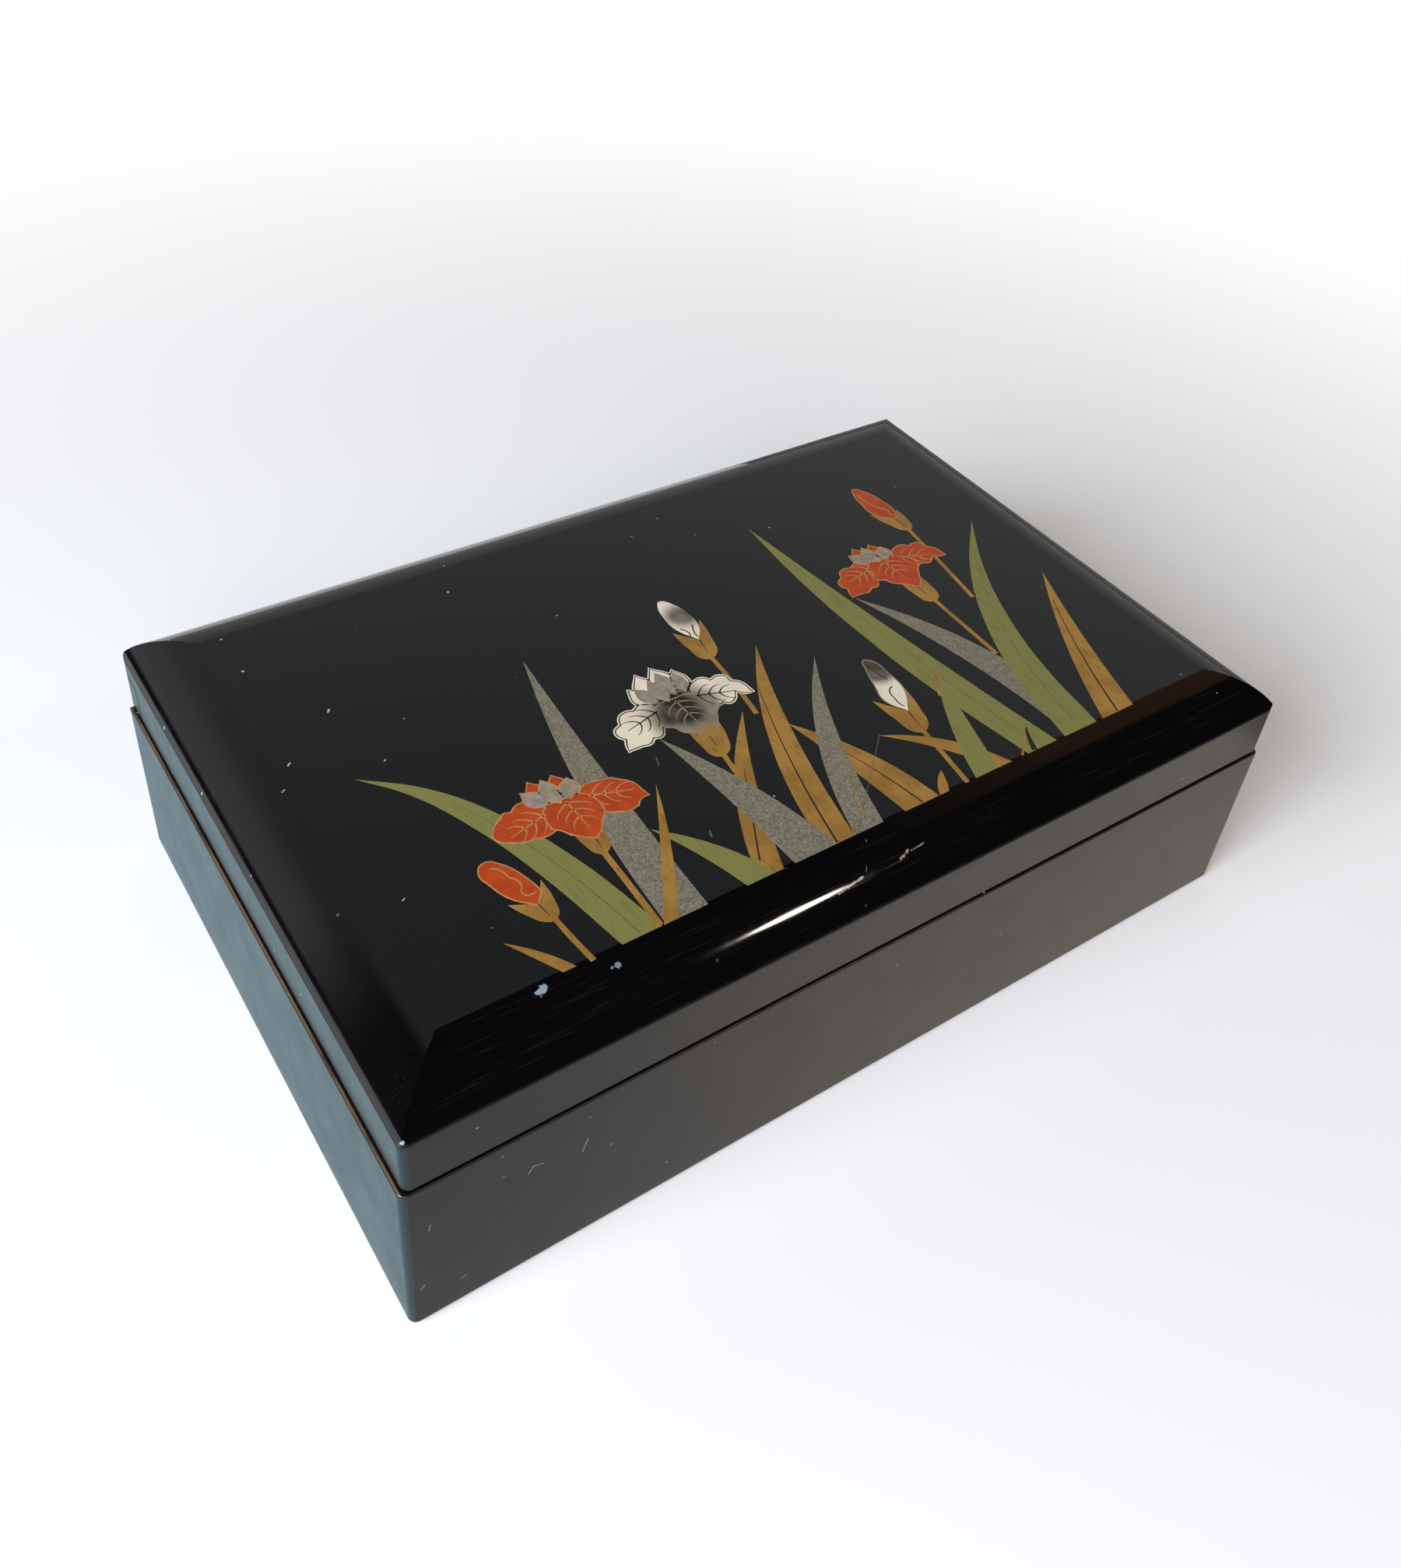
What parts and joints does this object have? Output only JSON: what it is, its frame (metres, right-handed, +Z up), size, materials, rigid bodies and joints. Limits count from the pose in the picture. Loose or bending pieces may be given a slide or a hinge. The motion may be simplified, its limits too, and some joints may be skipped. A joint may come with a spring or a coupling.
{
  "type": "hinged lacquer case",
  "caption": "Shallow black lacquered case with a pillow-topped lid on brass butt hinges, a lift-out divided tray and a divided, lined well below it.",
  "frame": {"origin": "on the table, under the middle of the case", "axes": "+X along the case's length to its right end, +Y to the hinged back, +Z up"},
  "size_m": [0.204, 0.1316, 0.0603],
  "materials": {
    "black_lacquer": "polished black lacquer over moulded wood and resin",
    "tray_lacquer": "satin black lacquered wood",
    "painted_board": "matte black paint on fibre board",
    "velvet": "deep red short-pile velvet on card",
    "felt": "black wool felt",
    "brass": "polished brass, slightly dulled",
    "mirror_glass": "silvered flat glass"
  },
  "bodies": {
    "base": {"base_shell": "black_lacquer", "bottom_panel": "painted_board", "bottom_panel_screws": "brass", "bottom_felt": "felt", "felt_bumper_left": "felt", "felt_bumper_right": "felt", "floor_lining": "velvet", "well_lining_front": "velvet", "well_lining_back": "velvet", "well_lining_left": "velvet", "well_lining_right": "velvet", "well_long_divider": "velvet", "well_cross_divider_left": "velvet", "well_cross_divider_right": "velvet", "left_hinge_base_leaf": "brass", "left_hinge_pin": "brass", "left_hinge_base_screws": "brass", "right_hinge_base_leaf": "brass", "right_hinge_pin": "brass", "right_hinge_base_screws": "brass"},
    "tray": {"tray_shell": "tray_lacquer", "tray_floor_lining": "velvet", "tray_long_divider": "tray_lacquer", "tray_cross_divider_left": "tray_lacquer", "tray_cross_divider_right": "tray_lacquer"},
    "lid": {"lid_shell": "black_lacquer", "lid_back_rail": "black_lacquer", "mirror_frame": "velvet", "mirror": "mirror_glass", "lid_lining_front": "velvet", "lid_lining_back": "velvet", "lid_lining_left": "velvet", "lid_lining_right": "velvet", "left_hinge_lid_leaf": "brass", "left_hinge_lid_screws": "brass", "right_hinge_lid_leaf": "brass", "right_hinge_lid_screws": "brass"}
  },
  "joints": [
    {"name": "lid_hinge", "type": "hinge", "parent": "base", "child": "lid", "pos_m": [0, 0.06415, 0.04075], "axis": [-1, 0, 0], "range_deg": [0, 98]},
    {"name": "tray_lift", "type": "slide", "parent": "base", "child": "tray", "axis": [0, 0, 1], "range_m": [0, 0.008]}
  ]
}
